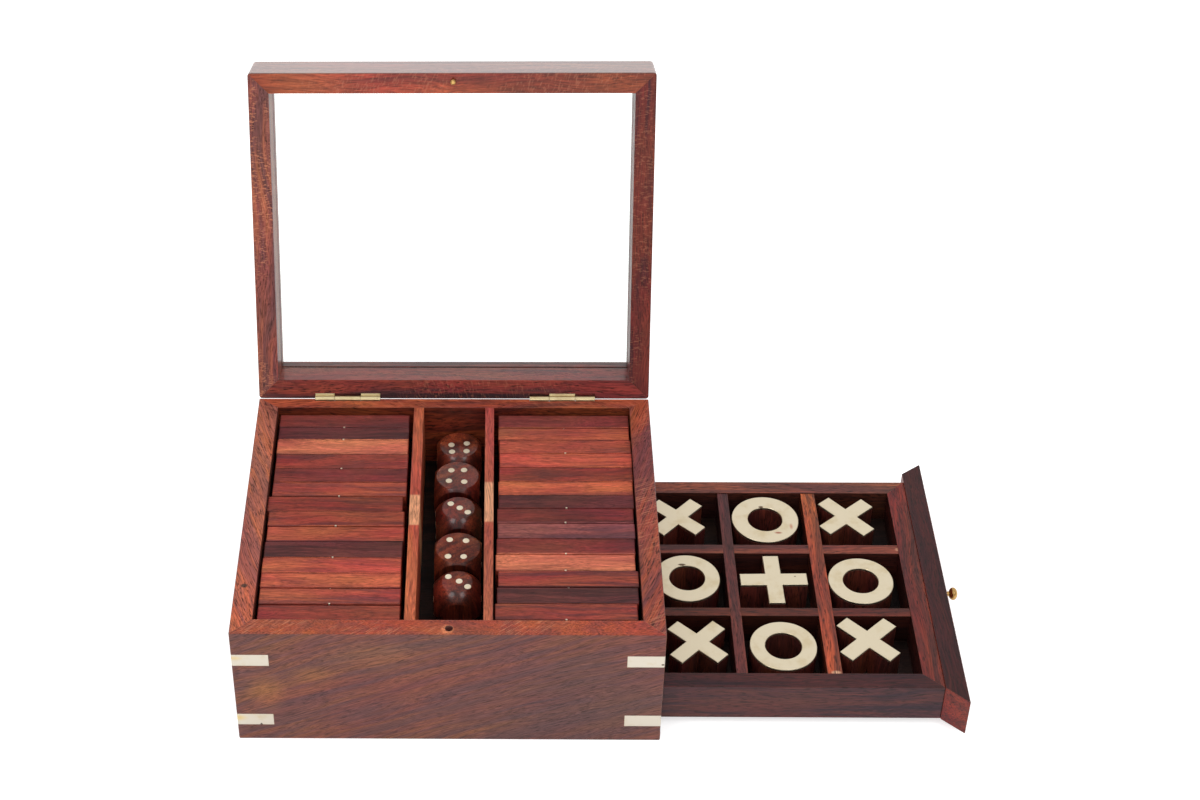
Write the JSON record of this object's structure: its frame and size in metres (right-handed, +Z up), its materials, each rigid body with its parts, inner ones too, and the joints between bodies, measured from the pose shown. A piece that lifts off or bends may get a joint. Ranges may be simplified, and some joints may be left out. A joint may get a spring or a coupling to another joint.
{
  "type": "games compendium box",
  "caption": "Mitred rosewood games box with a hinged glazed lid over dominoes and dice, and a side drawer holding a noughts and crosses board.",
  "frame": {"origin": "middle of the box body's underside", "axes": "+Z up, +X to the right along the front towards the drawer, +Y to the back, where the hinges are"},
  "size_m": [0.2637, 0.1893, 0.1727],
  "materials": {
    "rosewood": "oiled, satin",
    "divider_wood": "oiled, satin",
    "dark_board": "stained, matt",
    "mark_wood": "oiled, satin",
    "dice_wood": "polished",
    "domino_wood": "oiled, satin",
    "brass": "polished, a little worn",
    "pale_brass": "brushed",
    "clear_glass": "clear"
  },
  "bodies": {
    "case": {"front_wall": "rosewood", "back_wall": "rosewood", "left_wall": "rosewood", "right_wall": "rosewood", "drawer_sill": "rosewood", "bottom_board": "dark_board", "tray_floor": "rosewood", "left_divider": "divider_wood", "right_divider": "divider_wood", "drawer_guide": "rosewood", "corner_straps": "pale_brass", "hinge_box_leaves": "brass", "hinge_box_screws": "brass", "hinge_pins": "brass"},
    "lid": {"lid_front_rail": "rosewood", "lid_back_rail": "rosewood", "lid_left_rail": "rosewood", "lid_right_rail": "rosewood", "lid_glass": "clear_glass", "catch_pin": "brass", "hinge_lid_leaves": "brass", "hinge_lid_screws": "brass"},
    "drawer": {"drawer_front": "rosewood", "drawer_knob": "brass", "drawer_near_rail": "rosewood", "drawer_far_rail": "rosewood", "drawer_end_rail": "rosewood", "drawer_inner_rail": "rosewood", "drawer_base": "dark_board", "first_column_bar": "rosewood", "second_column_bar": "rosewood", "back_row_bar": "rosewood", "front_row_bar": "rosewood"},
    "cross_1": {"cross_1_block": "mark_wood", "cross_1_plate": "pale_brass"},
    "ring_2": {"ring_2_block": "mark_wood", "ring_2_plate": "pale_brass"},
    "cross_3": {"cross_3_block": "mark_wood", "cross_3_plate": "pale_brass"},
    "ring_4": {"ring_4_block": "mark_wood", "ring_4_plate": "pale_brass"},
    "cross_5": {"cross_5_block": "mark_wood", "cross_5_plate": "pale_brass"},
    "ring_6": {"ring_6_block": "mark_wood", "ring_6_plate": "pale_brass"},
    "cross_7": {"cross_7_block": "mark_wood", "cross_7_plate": "pale_brass"},
    "ring_8": {"ring_8_block": "mark_wood", "ring_8_plate": "pale_brass"},
    "cross_9": {"cross_9_block": "mark_wood", "cross_9_plate": "pale_brass"},
    "die_1": {"die_1": "dice_wood"},
    "die_2": {"die_2": "dice_wood"},
    "die_3": {"die_3": "dice_wood"},
    "die_4": {"die_4": "dice_wood"},
    "die_5": {"die_5": "dice_wood"},
    "left_dominoes": {"left_dominoes": "domino_wood"},
    "right_dominoes": {"right_dominoes": "domino_wood"}
  },
  "joints": [
    {"name": "lid_hinge", "type": "hinge", "parent": "case", "child": "lid", "pos_m": [0, 0.0634, 0.053], "axis": [-1, 0, 0], "range_deg": [-109.2, 0]},
    {"name": "drawer_slide", "type": "slide", "parent": "case", "child": "drawer", "axis": [1, 0, 0], "range_m": [-0.1076, 0.0085]},
    {"name": "cross_1_lift", "type": "slide", "parent": "drawer", "child": "cross_1", "axis": [0, 0, 1], "range_m": [0, 0.02]},
    {"name": "ring_2_lift", "type": "slide", "parent": "drawer", "child": "ring_2", "axis": [0, 0, 1], "range_m": [0, 0.02]},
    {"name": "cross_3_lift", "type": "slide", "parent": "drawer", "child": "cross_3", "axis": [0, 0, 1], "range_m": [0, 0.02]},
    {"name": "ring_4_lift", "type": "slide", "parent": "drawer", "child": "ring_4", "axis": [0, 0, 1], "range_m": [0, 0.02]},
    {"name": "cross_5_lift", "type": "slide", "parent": "drawer", "child": "cross_5", "axis": [0, 0, 1], "range_m": [0, 0.02]},
    {"name": "ring_6_lift", "type": "slide", "parent": "drawer", "child": "ring_6", "axis": [0, 0, 1], "range_m": [0, 0.02]},
    {"name": "cross_7_lift", "type": "slide", "parent": "drawer", "child": "cross_7", "axis": [0, 0, 1], "range_m": [0, 0.02]},
    {"name": "ring_8_lift", "type": "slide", "parent": "drawer", "child": "ring_8", "axis": [0, 0, 1], "range_m": [0, 0.02]},
    {"name": "cross_9_lift", "type": "slide", "parent": "drawer", "child": "cross_9", "axis": [0, 0, 1], "range_m": [0, 0.02]},
    {"name": "die_1_lift", "type": "slide", "parent": "case", "child": "die_1", "axis": [0, 0, 1], "range_m": [0, 0.03]},
    {"name": "die_2_lift", "type": "slide", "parent": "case", "child": "die_2", "axis": [0, 0, 1], "range_m": [0, 0.03]},
    {"name": "die_3_lift", "type": "slide", "parent": "case", "child": "die_3", "axis": [0, 0, 1], "range_m": [0, 0.03]},
    {"name": "die_4_lift", "type": "slide", "parent": "case", "child": "die_4", "axis": [0, 0, 1], "range_m": [0, 0.03]},
    {"name": "die_5_lift", "type": "slide", "parent": "case", "child": "die_5", "axis": [0, 0, 1], "range_m": [0, 0.03]},
    {"name": "left_dominoes_lift", "type": "slide", "parent": "case", "child": "left_dominoes", "axis": [0, 0, 1], "range_m": [0, 0.03]},
    {"name": "right_dominoes_lift", "type": "slide", "parent": "case", "child": "right_dominoes", "axis": [0, 0, 1], "range_m": [0, 0.03]}
  ]
}
